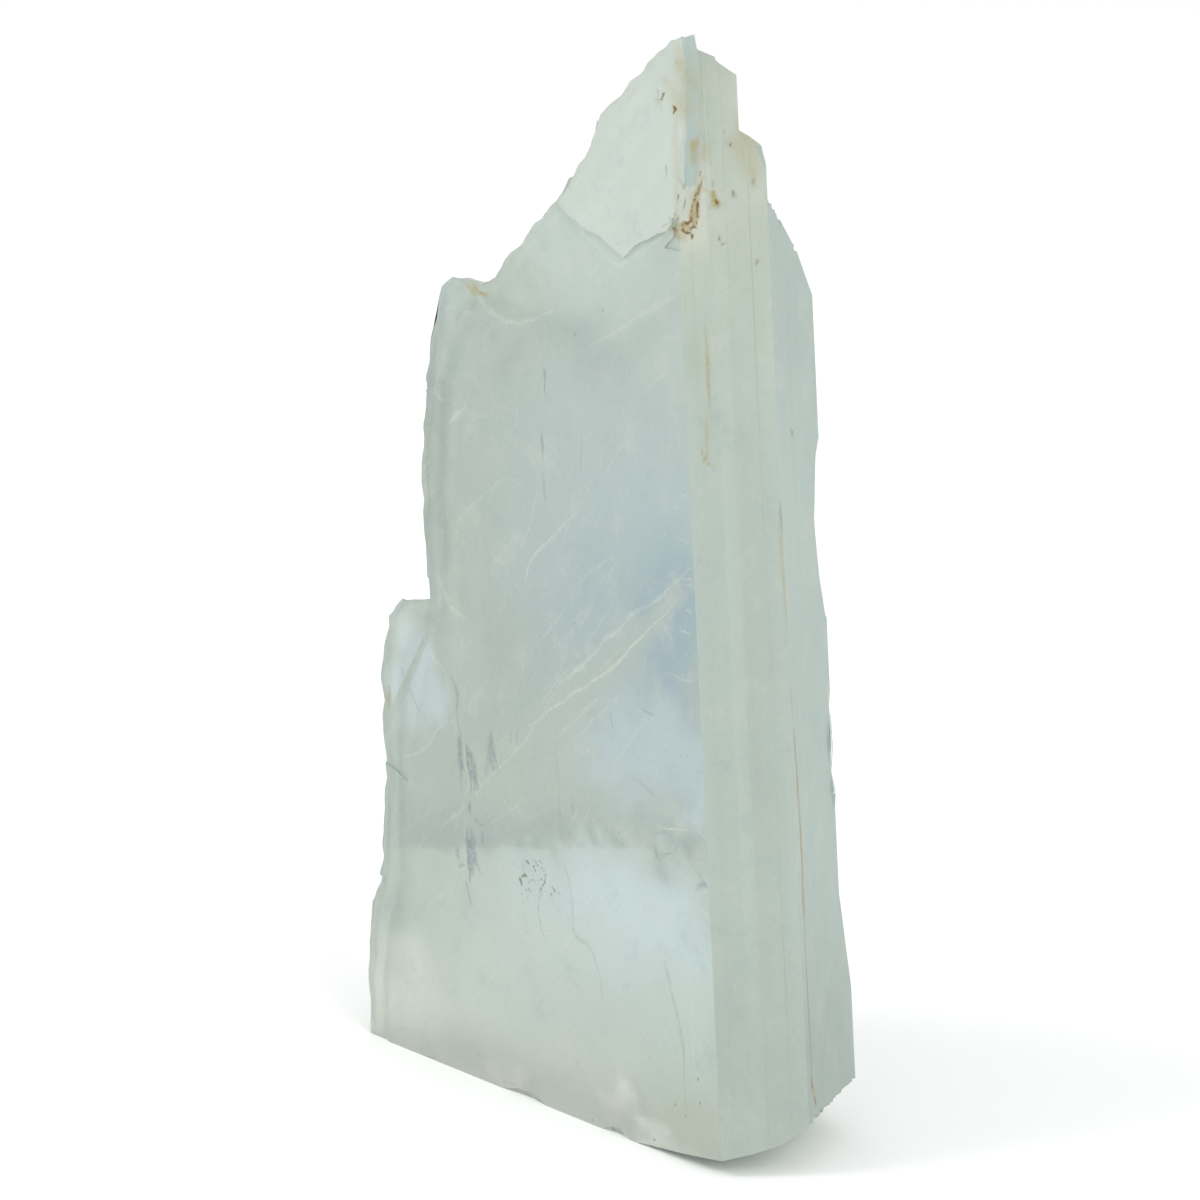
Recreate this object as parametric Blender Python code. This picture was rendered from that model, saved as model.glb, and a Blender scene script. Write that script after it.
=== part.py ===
"""Selenite slab: a cleaved piece of a thick, tabular gypsum crystal that stands upright on its broken base.

The crystal is a stack of cleavage plates. Each plate is an outline extruded through a part of the slab's
thickness, with its own broken left and upper edge. The stack is cut to the crystal's leaning prism, whose
two striated faces meet at a ridge on the right, and then chipped where the real slab is chipped.

While the slab is modelled, x runs along the broad face and is 0 at the foot of its main edge, y is the
depth behind the broad face, and z is the height above the base. The finished slab is moved so that its
origin is at the bottom centre of its box.
"""
import math
import random

import bmesh
import bpy
from mathutils import Matrix, Vector, noise

MM = 0.001

# Driving dimensions of the crystal, in millimetres: heights and depths, then the corners of the prism's
# section as (along the broad face, depth)
HEIGHT = 200.0
THICKNESS = 31.4
FOOT_THICKNESS = 35.2
LEAN = 0.080
MAIN_EDGE = (-1.3, 0.0)
RIDGE = (8.2, 12.2)
BACK_EDGE = (-7.0, FOOT_THICKNESS)
CHEVRON_PROUD = 0.55

# How far the plates and the prism reach past the slab before they are cut, in millimetres
WEST = -130.0
EAST = 24.0
BELOW = -8.0
PRISM_LENGTH = HEIGHT + 10.0

# Roughness of the broken edges, in millimetres
BREAK_STEP = 3.4
BREAK_JITTER = 0.5
BREAK_SLIDE = 0.3
STAGGER = 0.7
LEAST_CHIP = 0.02
WELD = 0.01
FLAT_ENOUGH = math.radians(0.4)

# Numbers that start each broken edge's own random row
PLATE_SEED = 100
CHEVRON_SEED = 131
TERRACE_SEED = 200

# Finish of the crystal as a whole
COLOUR = (0.49, 0.56, 0.52, 1.0)
ROUGHNESS = 0.28
IOR = 1.52
TRANSMISSION = 0.6

# The broken edge of each plate, front to back: from the foot on the left over the top to the prism
FRONT_BREAK = [
    (-105.2, BELOW), (-105.6, 18.0), (-104.8, 26.0), (-102.2, 30.2), (-99.8, 35.0), (-99.9, 42.0),
    (-99.2, 46.0), (-100.4, 61.0), (-100.9, 72.0), (-98.4, 81.0), (-94.4, 85.2), (-86.0, 86.8),
    (-86.6, 90.0), (-87.5, 108.0), (-87.4, 119.0), (-86.2, 130.4), (-84.4, 138.0), (-82.4, 144.9),
    (-79.0, 147.3), (-70.2, 147.6), (-66.4, 150.1), (-50.0, 165.3), (-38.2, 178.0), (-37.0, 182.0),
    (-30.0, 188.6), (-22.3, 195.0), (-15.7, 199.4), (-13.2, HEIGHT), (-8.0, 199.0), (EAST, 198.6),
]
SECOND_BREAK = [
    (-103.0, BELOW), (-102.2, 20.0), (-97.0, 33.0), (-98.4, 60.0), (-97.4, 74.0), (-92.0, 83.5),
    (-84.0, 85.4), (-84.8, 106.0), (-84.0, 128.0), (-79.8, 142.6), (-68.5, 145.8), (-49.0, 163.6),
    (-36.0, 177.2), (-28.4, 186.0), (-16.0, 197.8), (EAST, 199.2),
]
THIRD_BREAK = [
    (-105.6, BELOW), (-105.0, 14.0), (-99.0, 28.0), (-100.6, 52.0), (-98.0, 70.0), (-90.5, 82.0),
    (-85.6, 84.0), (-88.0, 104.0), (-86.0, 121.0), (-80.6, 137.0), (-77.0, 144.4), (-65.5, 145.2),
    (-46.0, 160.8), (-33.4, 172.2), (-26.0, 183.4), (-14.0, 196.2), (-8.0, 196.6), (EAST, 194.6),
]
FOURTH_BREAK = [
    (-107.0, BELOW), (-106.8, 22.0), (-102.4, 38.0), (-103.0, 55.0), (-96.8, 76.0), (-88.0, 81.2),
    (-88.6, 99.0), (-90.4, 116.0), (-85.0, 133.0), (-75.0, 143.4), (-60.0, 144.8), (-41.0, 160.0),
    (-24.0, 175.0), (-12.0, 183.6), (-8.2, 183.6), (-6.9, 179.8), (-5.8, 174.6), (EAST, 172.0),
]
FIFTH_BREAK = [
    (-103.4, BELOW), (-104.6, 16.0), (-101.4, 41.0), (-97.8, 64.0), (-92.0, 77.8), (-84.2, 82.6),
    (-86.4, 101.0), (-84.4, 124.0), (-78.0, 139.0), (-66.0, 142.0), (-53.0, 143.6), (-38.0, 153.6),
    (-22.0, 165.6), (-9.0, 171.6), (EAST, 171.0),
]
SIXTH_BREAK = [
    (-99.0, BELOW), (-100.6, 24.0), (-96.0, 47.0), (-94.2, 66.0), (-86.0, 76.4), (-79.4, 80.6),
    (-82.4, 97.0), (-83.0, 113.0), (-75.0, 134.0), (-62.0, 140.6), (-44.0, 144.0), (-29.0, 154.0),
    (-15.0, 167.0), (EAST, 166.0),
]
SEVENTH_BREAK = [
    (-94.6, BELOW), (-96.4, 21.0), (-89.8, 36.0), (-90.4, 58.0), (-81.6, 72.0), (-74.4, 92.0),
    (-76.8, 110.0), (-70.0, 127.0), (-55.0, 136.0), (-37.0, 145.0), (-24.0, 155.0), (-13.0, 160.0),
    (EAST, 152.0),
]
FOOT_BREAK = [
    (-71.0, BELOW), (-66.0, 14.0), (-52.0, 24.0), (-35.0, 31.0), (-19.0, 42.0), (-8.0, 47.0), (EAST, 44.0),
]

# The plates, front to back: depth of the near and far face, how far the far outline is shifted along x and
# z by the slope of the break, and the broken edge
PLATES = [
    (-1.0, 3.2, (0.6, -1.2), FRONT_BREAK),
    (2.6, 6.2, (0.8, -1.9), SECOND_BREAK),
    (5.6, 8.9, (0.4, -3.6), THIRD_BREAK),
    (8.3, 12.6, (0.6, -3.4), FOURTH_BREAK),
    (12.0, 18.6, (0.4, -5.0), FIFTH_BREAK),
    (18.0, 25.6, (0.2, -8.0), SIXTH_BREAK),
    (25.0, THICKNESS, (-2.6, -9.0), SEVENTH_BREAK),
    (THICKNESS - 0.6, FOOT_THICKNESS + 0.9, (2.0, -24.0), FOOT_BREAK),
]

# A thin plate left on the top of the broad face: it ends in a step with the shape of a chevron
CHEVRON_PLATE = [
    (-47.6, 165.6), (-44.0, 163.6), (-38.6, 162.2), (-28.8, 159.2), (-17.0, 166.0), (-14.8, 169.0),
    (-12.2, 174.0), (-11.2, 184.0), (-11.8, 191.0), (-12.4, 197.0), (-13.4, 200.0), (-15.7, 198.8),
    (-22.3, 194.4), (-30.0, 188.0), (-36.6, 181.4), (-37.8, 177.4),
]
CHEVRON_BACK = 2.3

# Places where a plate has split off a face: outline on the face, then near and far depth
TERRACES = [
    ([(-112.0, BELOW), (-99.4, BELOW), (-99.8, 10.0), (-98.0, 22.0), (-99.4, 31.0), (-112.0, 32.0)],
     -2.0, 0.5),
    ([(-104.0, 55.0), (-92.6, 51.0), (-90.4, 60.0), (-86.8, 73.0), (-85.0, 90.0), (-104.0, 94.0)],
     -2.0, 0.35),
    ([(-92.0, 124.0), (-80.4, 127.0), (-77.4, 139.0), (-72.0, 142.6), (-70.0, 152.0), (-92.0, 152.0)],
     -2.0, 0.3),
    ([(-18.0, 162.6), (-15.9, 165.3), (-14.8, 169.0), (-12.0, 174.0), (-11.0, 184.6), (8.0, 186.0),
      (8.0, 163.4)], -2.0, 0.35),
    ([(-118.0, 62.0), (-61.0, 66.0), (-54.0, 84.0), (-42.0, 92.0), (-46.0, 112.0), (-38.0, 126.0),
      (-44.0, 150.0), (-118.0, 150.0)], 30.0, 42.0),
    ([(-118.0, 108.0), (-70.0, 112.0), (-64.0, 121.0), (-58.0, 128.0), (-60.0, 150.0), (-118.0, 150.0)],
     28.8, 42.0),
    ([(-30.0, 60.0), (-18.0, 52.0), (-9.0, 63.0), (-11.0, 82.0), (-21.0, 88.0), (-28.0, 77.0)],
     30.3, 42.0),
]

# Flutes along the prism: distance along each face from its first edge, and how far the face steps in
MAIN_FLUTES = [
    (2.1, 0.0), (2.3, 0.06), (5.5, 0.04), (5.8, 0.13), (8.3, 0.12), (8.6, 0.04), (12.2, 0.0), (12.5, 0.08),
]
BACK_FLUTES = [
    (3.6, 0.02), (3.9, 0.07), (8.4, 0.06), (8.8, 0.0), (13.0, 0.01), (13.3, 0.06), (17.6, 0.05),
]

# The broken corner under the prism: distance towards the corner, and the height of the break there
CORNER_TURN = math.radians(35.0)
CORNER_BREAK = [
    (-24.0, -0.6), (-19.0, 0.4), (-10.0, 1.5), (-2.0, 2.8), (4.0, 4.2), (8.0, 5.6), (10.0, 6.8),
    (12.0, 8.6), (14.0, 9.6), (22.0, 11.4), (30.0, 12.4), (30.0, -9.0), (-24.0, -9.0),
]
CORNER_REACH = 70.0

# Bruises: centre, half sizes and seed of a rough lens that is taken off an edge
BRUISES = [
    ((-58.0, -1.2, -0.8), (9.0, 2.2, 2.6), 3),
    ((-31.0, -1.0, -1.2), (6.0, 2.0, 2.8), 5),
    ((-86.0, -1.4, -1.4), (5.0, 2.2, 2.4), 8),
    ((-105.4, 14.0, 33.0), (3.6, 7.0, 6.0), 13),
    ((-91.0, 22.0, 86.0), (6.0, 8.0, 5.0), 21),
    ((-72.0, 33.0, 148.0), (12.0, 5.0, 6.0), 34),
    ((-50.0, 35.6, -0.8), (10.0, 3.0, 2.4), 55),
    ((-36.0, 10.0, 184.4), (5.0, 4.0, 7.0), 89),
    ((-98.0, 33.0, 4.0), (6.0, 5.0, 7.0), 144),
    ((-10.4, 35.0, 112.0), (7.4, 7.6, 22.0), 233),
]
BRUISE_SWELL = 0.16
BRUISE_LUMPS = 1.9


def rough_edge(points, seed):
    """Divide a broken edge into short facets and jitter them, as a break across cleavage plates does."""
    rng = random.Random(seed)
    rough = [Vector(points[0])]
    for start, end in zip(points, points[1:]):
        start, end = Vector(start), Vector(end)
        run = end - start
        across = Vector((-run.y, run.x)).normalized()
        steps = max(1, round(run.length / BREAK_STEP))
        for index in range(1, steps + 1):
            slide = rng.uniform(-BREAK_SLIDE, BREAK_SLIDE) if index < steps else 0.0
            push = rng.uniform(-BREAK_JITTER, BREAK_JITTER)
            rough.append(start + run * ((index + slide) / steps) + across * push)
    return rough


def extruded_outline(name, outline, length, placement, collection):
    """Extrude a closed outline by half the length each way, and put it in its place as a closed mesh."""
    curve = bpy.data.curves.new(name, "CURVE")
    curve.dimensions = "2D"
    curve.fill_mode = "BOTH"
    curve.extrude = length / 2 * MM
    spline = curve.splines.new("POLY")
    spline.points.add(len(outline) - 1)
    for point, place in zip(spline.points, outline):
        point.co = (place[0] * MM, place[1] * MM, 0.0, 1.0)
    spline.use_cyclic_u = True
    flat = bpy.data.objects.new(name + "_outline", curve)
    collection.objects.link(flat)
    bpy.context.view_layer.update()
    graph = bpy.context.evaluated_depsgraph_get()
    mesh = bpy.data.meshes.new_from_object(flat.evaluated_get(graph))
    bpy.data.objects.remove(flat)
    bpy.data.curves.remove(curve)
    mesh.transform(placement)
    shape = bmesh.new()
    shape.from_mesh(mesh)
    bmesh.ops.remove_doubles(shape, verts=shape.verts, dist=WELD * MM)
    bmesh.ops.recalc_face_normals(shape, faces=shape.faces)
    shape.to_mesh(mesh)
    shape.free()
    solid = bpy.data.objects.new(name, mesh)
    collection.objects.link(solid)
    return solid


def plate_from_outline(name, outline, near, far, collection):
    """Extrude an outline of the broad face from the near to the far depth."""
    upright = Matrix.Rotation(math.pi / 2, 4, "X")
    placement = Matrix.Translation((0.0, (near + far) / 2 * MM, 0.0)) @ upright
    return extruded_outline(name, outline, far - near, placement, collection)


def cleavage_plate(number, near, far, shift, broken_edge, collection):
    """One plate of the stack: its far outline is shifted, so that the break slopes through the plate."""
    outline = rough_edge(broken_edge, PLATE_SEED + number)
    outline.append(Vector((EAST, BELOW)))
    for point in outline:
        if point.x > EAST - 2:
            point.x = EAST + number * STAGGER
        if point.y < BELOW + 2:
            point.y = BELOW - number * STAGGER
    plate = plate_from_outline(f"plate_{number}", outline, near, far, collection)
    middle = (near + far) / 2 * MM
    for vertex in plate.data.vertices:
        if vertex.co.y > middle:
            vertex.co.x += shift[0] * MM
            vertex.co.z += shift[1] * MM
    return plate


def fluted_face(start, end, flutes):
    """Points along a prism face from start to end, stepped in by its flutes."""
    start, end = Vector(start), Vector(end)
    along = (end - start).normalized()
    inward = Vector((-along.y, along.x))
    points = [start]
    for distance, depth in flutes:
        points.append(start + along * distance + inward * depth)
    return points


def crystal_prism(collection):
    """The leaning prism of the crystal: broad face, two fluted faces that meet at the ridge, and back."""
    section = [Vector((WEST, 0.0))]
    section += fluted_face(MAIN_EDGE, RIDGE, MAIN_FLUTES)
    section += fluted_face(RIDGE, BACK_EDGE, BACK_FLUTES)
    section += [Vector(BACK_EDGE), Vector((WEST, FOOT_THICKNESS))]
    lean = Matrix.Identity(4)
    lean[0][2] = -LEAN
    placement = lean @ Matrix.Translation((0.0, 0.0, PRISM_LENGTH / 2 * MM))
    return extruded_outline("prism", section, PRISM_LENGTH, placement, collection)


def corner_break(collection):
    """The rising break under the prism corner: a curved outline drawn through the whole foot."""
    chip = plate_from_outline("corner_break", CORNER_BREAK, -CORNER_REACH, CORNER_REACH, collection)
    chip.data.transform(Matrix.Rotation(CORNER_TURN, 4, "Z"))
    return chip


def bruise(number, centre, half_sizes, seed, collection):
    """A rough lens that takes a shell-shaped chip off an edge."""
    mesh = bpy.data.meshes.new(f"bruise_{number}")
    shape = bmesh.new()
    bmesh.ops.create_icosphere(shape, subdivisions=2, radius=1.0)
    for vertex in shape.verts:
        lumps = noise.noise(vertex.co * BRUISE_LUMPS + Vector((seed, seed * 0.37, 1.7)))
        place = vertex.co * (1.0 + BRUISE_SWELL * lumps)
        vertex.co = [(centre[axis] + place[axis] * half_sizes[axis]) * MM for axis in range(3)]
    shape.to_mesh(mesh)
    shape.free()
    lens = bpy.data.objects.new(mesh.name, mesh)
    collection.objects.link(lens)
    return lens


def combine(target, tool, operation):
    """Join, cut or keep the target with the tool. The exact solver loses this long stack and isn't used."""
    modifier = target.modifiers.new(f"{operation.lower()} {tool.name}", "BOOLEAN")
    modifier.operation = operation
    modifier.solver = "MANIFOLD"
    modifier.object = tool
    tool.hide_render = True
    tool.display_type = "WIRE"


def selenite():
    """The crystal's own material: clear to milky, faintly green."""
    material = bpy.data.materials.new("selenite")
    material.use_nodes = True
    shader = material.node_tree.nodes["Principled BSDF"]
    shader.inputs["Base Color"].default_value = COLOUR
    shader.inputs["Roughness"].default_value = ROUGHNESS
    shader.inputs["IOR"].default_value = IOR
    shader.inputs["Transmission Weight"].default_value = TRANSMISSION
    material.diffuse_color = COLOUR
    return material


def clear_scene():
    """Remove what the file holds, and make the collections for the slab and for its cutters."""
    for item in list(bpy.data.objects):
        bpy.data.objects.remove(item)
    part = bpy.data.collections.new("selenite slab")
    cutters = bpy.data.collections.new("cutters")
    bpy.context.scene.collection.children.link(part)
    bpy.context.scene.collection.children.link(cutters)
    return part, cutters


def finish_mesh(stack, collection):
    """Evaluate the Booleans, merge flat faces, drop slivers and set the origin at the bottom centre."""
    bpy.context.view_layer.update()
    graph = bpy.context.evaluated_depsgraph_get()
    mesh = bpy.data.meshes.new_from_object(stack.evaluated_get(graph))
    mesh.name = "selenite_slab"
    shape = bmesh.new()
    shape.from_mesh(mesh)
    bmesh.ops.remove_doubles(shape, verts=shape.verts, dist=LEAST_CHIP * MM)
    bmesh.ops.dissolve_limit(shape, angle_limit=FLAT_ENOUGH, verts=shape.verts, edges=shape.edges)
    bmesh.ops.triangulate(shape, faces=shape.faces)
    low = [min(vertex.co[axis] for vertex in shape.verts) for axis in range(3)]
    high = [max(vertex.co[axis] for vertex in shape.verts) for axis in range(3)]
    move = Vector((-(low[0] + high[0]) / 2, -(low[1] + high[1]) / 2, -low[2]))
    bmesh.ops.translate(shape, verts=shape.verts, vec=move)
    shape.to_mesh(mesh)
    shape.free()
    mesh.materials.clear()
    mesh.materials.append(selenite())
    slab = bpy.data.objects.new("selenite_slab", mesh)
    collection.objects.link(slab)
    return slab


part_collection, cutter_collection = clear_scene()

plates = []
for plate_number, (near, far, shift, broken_edge) in enumerate(PLATES):
    plates.append(cleavage_plate(plate_number, near, far, shift, broken_edge, cutter_collection))
slab_stack = plates[0]
for plate in plates[1:]:
    combine(slab_stack, plate, "UNION")
combine(slab_stack, crystal_prism(cutter_collection), "INTERSECT")
for terrace_number, (terrace_outline, near, far) in enumerate(TERRACES):
    rough_outline = rough_edge(terrace_outline, TERRACE_SEED + terrace_number)
    terrace = plate_from_outline(f"terrace_{terrace_number}", rough_outline, near, far, cutter_collection)
    combine(slab_stack, terrace, "DIFFERENCE")
chevron_outline = rough_edge(CHEVRON_PLATE, CHEVRON_SEED)
chevron = plate_from_outline("chevron", chevron_outline, -CHEVRON_PROUD, CHEVRON_BACK, cutter_collection)
combine(slab_stack, chevron, "UNION")
combine(slab_stack, corner_break(cutter_collection), "DIFFERENCE")
for bruise_number, (centre, half_sizes, seed) in enumerate(BRUISES):
    combine(slab_stack, bruise(bruise_number, centre, half_sizes, seed, cutter_collection), "DIFFERENCE")
finish_mesh(slab_stack, part_collection)
slab_stack.hide_render = True
slab_stack.display_type = "WIRE"
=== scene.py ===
import math
import random

import bmesh
import bpy
import numpy as np
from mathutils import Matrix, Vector, geometry, noise


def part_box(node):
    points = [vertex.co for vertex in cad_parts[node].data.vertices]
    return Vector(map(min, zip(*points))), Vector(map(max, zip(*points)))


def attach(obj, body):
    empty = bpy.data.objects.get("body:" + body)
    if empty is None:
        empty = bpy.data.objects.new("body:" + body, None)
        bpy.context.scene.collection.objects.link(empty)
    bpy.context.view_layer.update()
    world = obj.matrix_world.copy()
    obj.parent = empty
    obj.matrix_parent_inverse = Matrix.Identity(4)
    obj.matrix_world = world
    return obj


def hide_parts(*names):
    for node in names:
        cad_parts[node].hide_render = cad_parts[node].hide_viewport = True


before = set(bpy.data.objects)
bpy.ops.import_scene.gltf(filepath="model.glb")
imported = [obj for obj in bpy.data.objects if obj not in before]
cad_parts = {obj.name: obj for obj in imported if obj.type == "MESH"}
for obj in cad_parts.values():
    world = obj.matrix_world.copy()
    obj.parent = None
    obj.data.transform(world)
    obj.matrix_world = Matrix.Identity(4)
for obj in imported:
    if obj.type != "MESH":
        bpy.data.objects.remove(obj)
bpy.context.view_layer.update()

# The crystal body
# One cleaved piece of a tabular gypsum crystal, grown as a stack of thin cleavage plates. It stands on its
# broken foot. All places below are in millimetres from the foot of the main edge: x along the broad face to
# the right, y back into the crystal, z up.
MM = 0.001

# From that foot the ridge reaches so far to the right, and the top plate stands so far before the broad face
RIDGE_REACH = 7.467
PLATE_PROUD = 0.55
low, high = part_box("selenite_slab")
foot = Vector((high[0] - RIDGE_REACH * MM, low[1] + PLATE_PROUD * MM, low[2]))


def in_crystal(point):
    """A point of the mesh in millimetres from the foot of the main edge."""
    return (point - foot) / MM


def merge_flat_faces(shape):
    """Weld the loose triangles of the solid and join those of each flat face."""
    bmesh.ops.remove_doubles(shape, verts=shape.verts, dist=0.002 * MM)
    bmesh.ops.dissolve_limit(shape, angle_limit=math.radians(0.3), verts=shape.verts, edges=shape.edges,
                             use_dissolve_boundaries=False)
    shape.normal_update()


slab_mesh = bpy.data.objects["selenite_slab"].data.copy()
slab_mesh.name = "crystal_body"
shape = bmesh.new()
shape.from_mesh(slab_mesh)
merge_flat_faces(shape)


# Prism faces
# Two grown faces that meet at a ridge on the right. Growth left fine striations along them, which are cut
# into the faces as shallow strips and fade towards the weathered top.
LEAN = 0.080
long_axis = Vector((-LEAN, 0.0, 1.0)).normalized()
main_edge = Vector((-1.3, 0.0, 0.0))
ridge = Vector((8.2, 12.2, 0.0))
back_edge = Vector((-7.0, 35.2, 0.0))
EDGE_STRIP = 0.35
DEEPEST_FLUTE = 0.05


def outward(start, end):
    """The outward normal of the prism face that runs from start to end."""
    return (end - start).cross(long_axis).normalized()


def grain(point, size, seed=0.0):
    """Smooth noise between about -0.5 and 0.5 whose grains are the given size in millimetres."""
    return noise.noise(Vector((point.x, point.y + seed, point.z)) / size)


def cut_faces(shape, faces, where, normal):
    """Cut the given faces with a plane."""
    edges = {edge for face in faces for edge in face.edges}
    verts = {vert for face in faces for vert in face.verts}
    bmesh.ops.bisect_plane(shape, geom=list(verts) + list(edges) + list(faces), plane_co=where,
                           plane_no=normal, dist=0.02 * MM)


def across_prism(point, start, run):
    """Distance of a point from the first edge of a prism face, in millimetres across the crystal."""
    return (point - start - long_axis * ((point.z - start.z) / long_axis.z)).dot(run)


def flute_prism_face(shape, start, end, levels, seed):
    """Cut a prism face along the crystal, and across at the levels, and set the strips in and out."""
    rng = random.Random(seed)
    normal = outward(start, end)
    run = (end - start).normalized()
    width = (end - start).length
    places, depths = [0.0, EDGE_STRIP], [0.0, 0.0]
    while places[-1] < width - 0.8:
        places.append(places[-1] + rng.uniform(0.16, 0.62))
        depths.append(max(0.0, min(DEEPEST_FLUTE, depths[-1] + rng.uniform(-0.02, 0.02))))
    places += [width - EDGE_STRIP, width]
    depths += [0.0, 0.0]
    side = normal.cross(long_axis)
    for place in places[1:-1]:
        faces = [face for face in shape.faces if face.normal.dot(normal) > 0.7]
        cut_faces(shape, faces, foot + (start + run * place) * MM, side)
    for level in levels:
        faces = [face for face in shape.faces if face.normal.dot(normal) > 0.985]
        cut_faces(shape, faces, foot + long_axis * level * MM, long_axis)
    moves = {}
    for vert in shape.verts:
        if not all(face.normal.dot(normal) > 0.7 for face in vert.link_faces):
            continue
        point = in_crystal(vert.co)
        across = across_prism(point, start, run)
        if across < 0.0 or across > width:
            continue
        index = max(number for number, place in enumerate(places) if place <= across)
        index = min(index, len(places) - 2)
        share = (across - places[index]) / (places[index + 1] - places[index])
        depth = depths[index] * (1 - share) + depths[index + 1] * share
        fading = 0.75 + 0.9 * grain(Vector((across * 9.0, 0.0, point.z)), 34.0, seed)
        fading *= max(0.15, min(1.0, (178.0 - point.z) / 26.0))
        moves[vert] = -normal * depth * max(0.0, min(1.2, fading)) * MM
    for vert, move in moves.items():
        vert.co += move
    shape.normal_update()


def levels_between(*stretches):
    """Heights of cuts across a prism face: 4 mm apart, and closer in stretches with rust or dirt."""
    levels = set(range(4, 196, 4))
    for start, end, step in stretches:
        levels = {level for level in levels if not start <= level <= end} | set(np.arange(start, end, step))
    return sorted(levels)


flute_prism_face(shape, main_edge, ridge, levels_between((124.0, 130.0, 0.6), (161.0, 184.6, 0.45)), 41)
flute_prism_face(shape, ridge, back_edge, levels_between((10.0, 18.0, 0.6), (123.0, 131.0, 0.6)), 42)


# Broken ends
# The slab was broken off on the left, along the top and at the foot. A break across the cleavage leaves each
# thin plate with its own square, ragged end, so the ends are cut along the cleavage and slid plate by plate.
THICKNESS = 36.0


def is_crystal_face(face):
    """Whether a face is a cleavage face, the foot or a prism face, all of which are smooth and flat."""
    normal = face.normal
    if abs(normal.y) > 0.93 or normal.z < -0.97:
        return True
    return normal.dot(outward(main_edge, ridge)) > 0.86 or normal.dot(outward(ridge, back_edge)) > 0.86


def is_wall(face):
    """Whether a face belongs to the smooth wall on the right of the top plate."""
    corner = in_crystal(face.verts[0].co)
    return face.normal.x > 0.75 and corner.z > 150.0 and corner.y < 6.0


def is_plate_end(face):
    """Whether a face is a broken end of the plates, which stands roughly square to them."""
    beside_prism = face.normal.x > 0.4 and abs(face.normal.z) < 0.3
    return not is_crystal_face(face) and abs(face.normal.y) < 0.72 and not beside_prism


def divide_long_edges(shape, wanted, longest):
    """Divide the edges of the wanted faces, all edges of one length alike, so that strips stay strips."""
    by_cuts = {}
    for edge in {edge for face in shape.faces if wanted(face) for edge in face.edges}:
        cuts = math.ceil(edge.calc_length() / MM / longest) - 1
        if cuts > 0:
            by_cuts.setdefault(cuts, []).append(edge)
    for cuts in sorted(by_cuts):
        edges = [edge for edge in by_cuts[cuts] if edge.is_valid]
        bmesh.ops.subdivide_edges(shape, edges=edges, cuts=cuts, use_grid_fill=True)
    shape.normal_update()


def split_into_plates(shape, seed):
    """Cut the broken ends along the cleavage, and slide each thin plate so that its end is square."""
    rng = random.Random(seed)
    levels = [-1.0]
    while levels[-1] < THICKNESS:
        levels.append(levels[-1] + rng.choice((0.35, 0.5, 0.7, 0.9, 1.3)) * rng.uniform(0.8, 1.2))
    gap = 0.03
    for level in levels[1:]:
        for side in (-gap, gap):
            faces = [face for face in shape.faces if is_plate_end(face)]
            cut_faces(shape, faces, foot + Vector((0.0, level + side, 0.0)) * MM, Vector((0.0, 1.0, 0.0)))
    shape.normal_update()
    divide_long_edges(shape, is_plate_end, 1.1)
    moves = {}
    for vert in shape.verts:
        ends = [face for face in vert.link_faces if is_plate_end(face)]
        if not ends:
            continue
        if any(face.normal.dot(outward(main_edge, ridge)) > 0.5 and is_crystal_face(face) and
               abs(face.normal.y) < 0.9 for face in vert.link_faces):
            continue
        normal = sum((face.normal for face in ends), Vector())
        out = Vector((normal.x, 0.0, normal.z))
        if out.length < 0.2 * normal.length or out.length == 0.0:
            continue
        slope = normal.y / out.length
        out.normalize()
        point = in_crystal(vert.co)
        plate = max(number for number, level in enumerate(levels) if level <= point.y)
        middle = (levels[plate] + levels[min(plate + 1, len(levels) - 1)]) / 2
        square = -slope * (middle - point.y)
        layer = Vector((point.x, plate * 41.0, point.z))
        ragged = 0.24 + 0.62 * grain(layer, 11.0) + 0.5 * grain(layer, 3.6) + 0.16 * grain(layer, 1.3)
        if point.z < 0.4:
            out.z = 0.0
        moves[vert] = out * (max(-0.5, min(0.5, square)) - max(0.0, ragged)) * MM
    for vert, move in moves.items():
        vert.co += move
    shape.normal_update()


split_into_plates(shape, 43)

# The wall on the right of the top plate is cut finely, because rust lies on it
for level in np.arange(158.0, 198.0, 0.5):
    walls = [face for face in shape.faces if is_wall(face)]
    cut_faces(shape, walls, foot + long_axis * level * MM, long_axis)
for depth in np.arange(-0.2, 6.0, 0.45):
    walls = [face for face in shape.faces if is_wall(face)]
    cut_faces(shape, walls, foot + Vector((0.0, depth, 0.0)) * MM, Vector((0.0, 1.0, 0.0)))
shape.normal_update()


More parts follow.
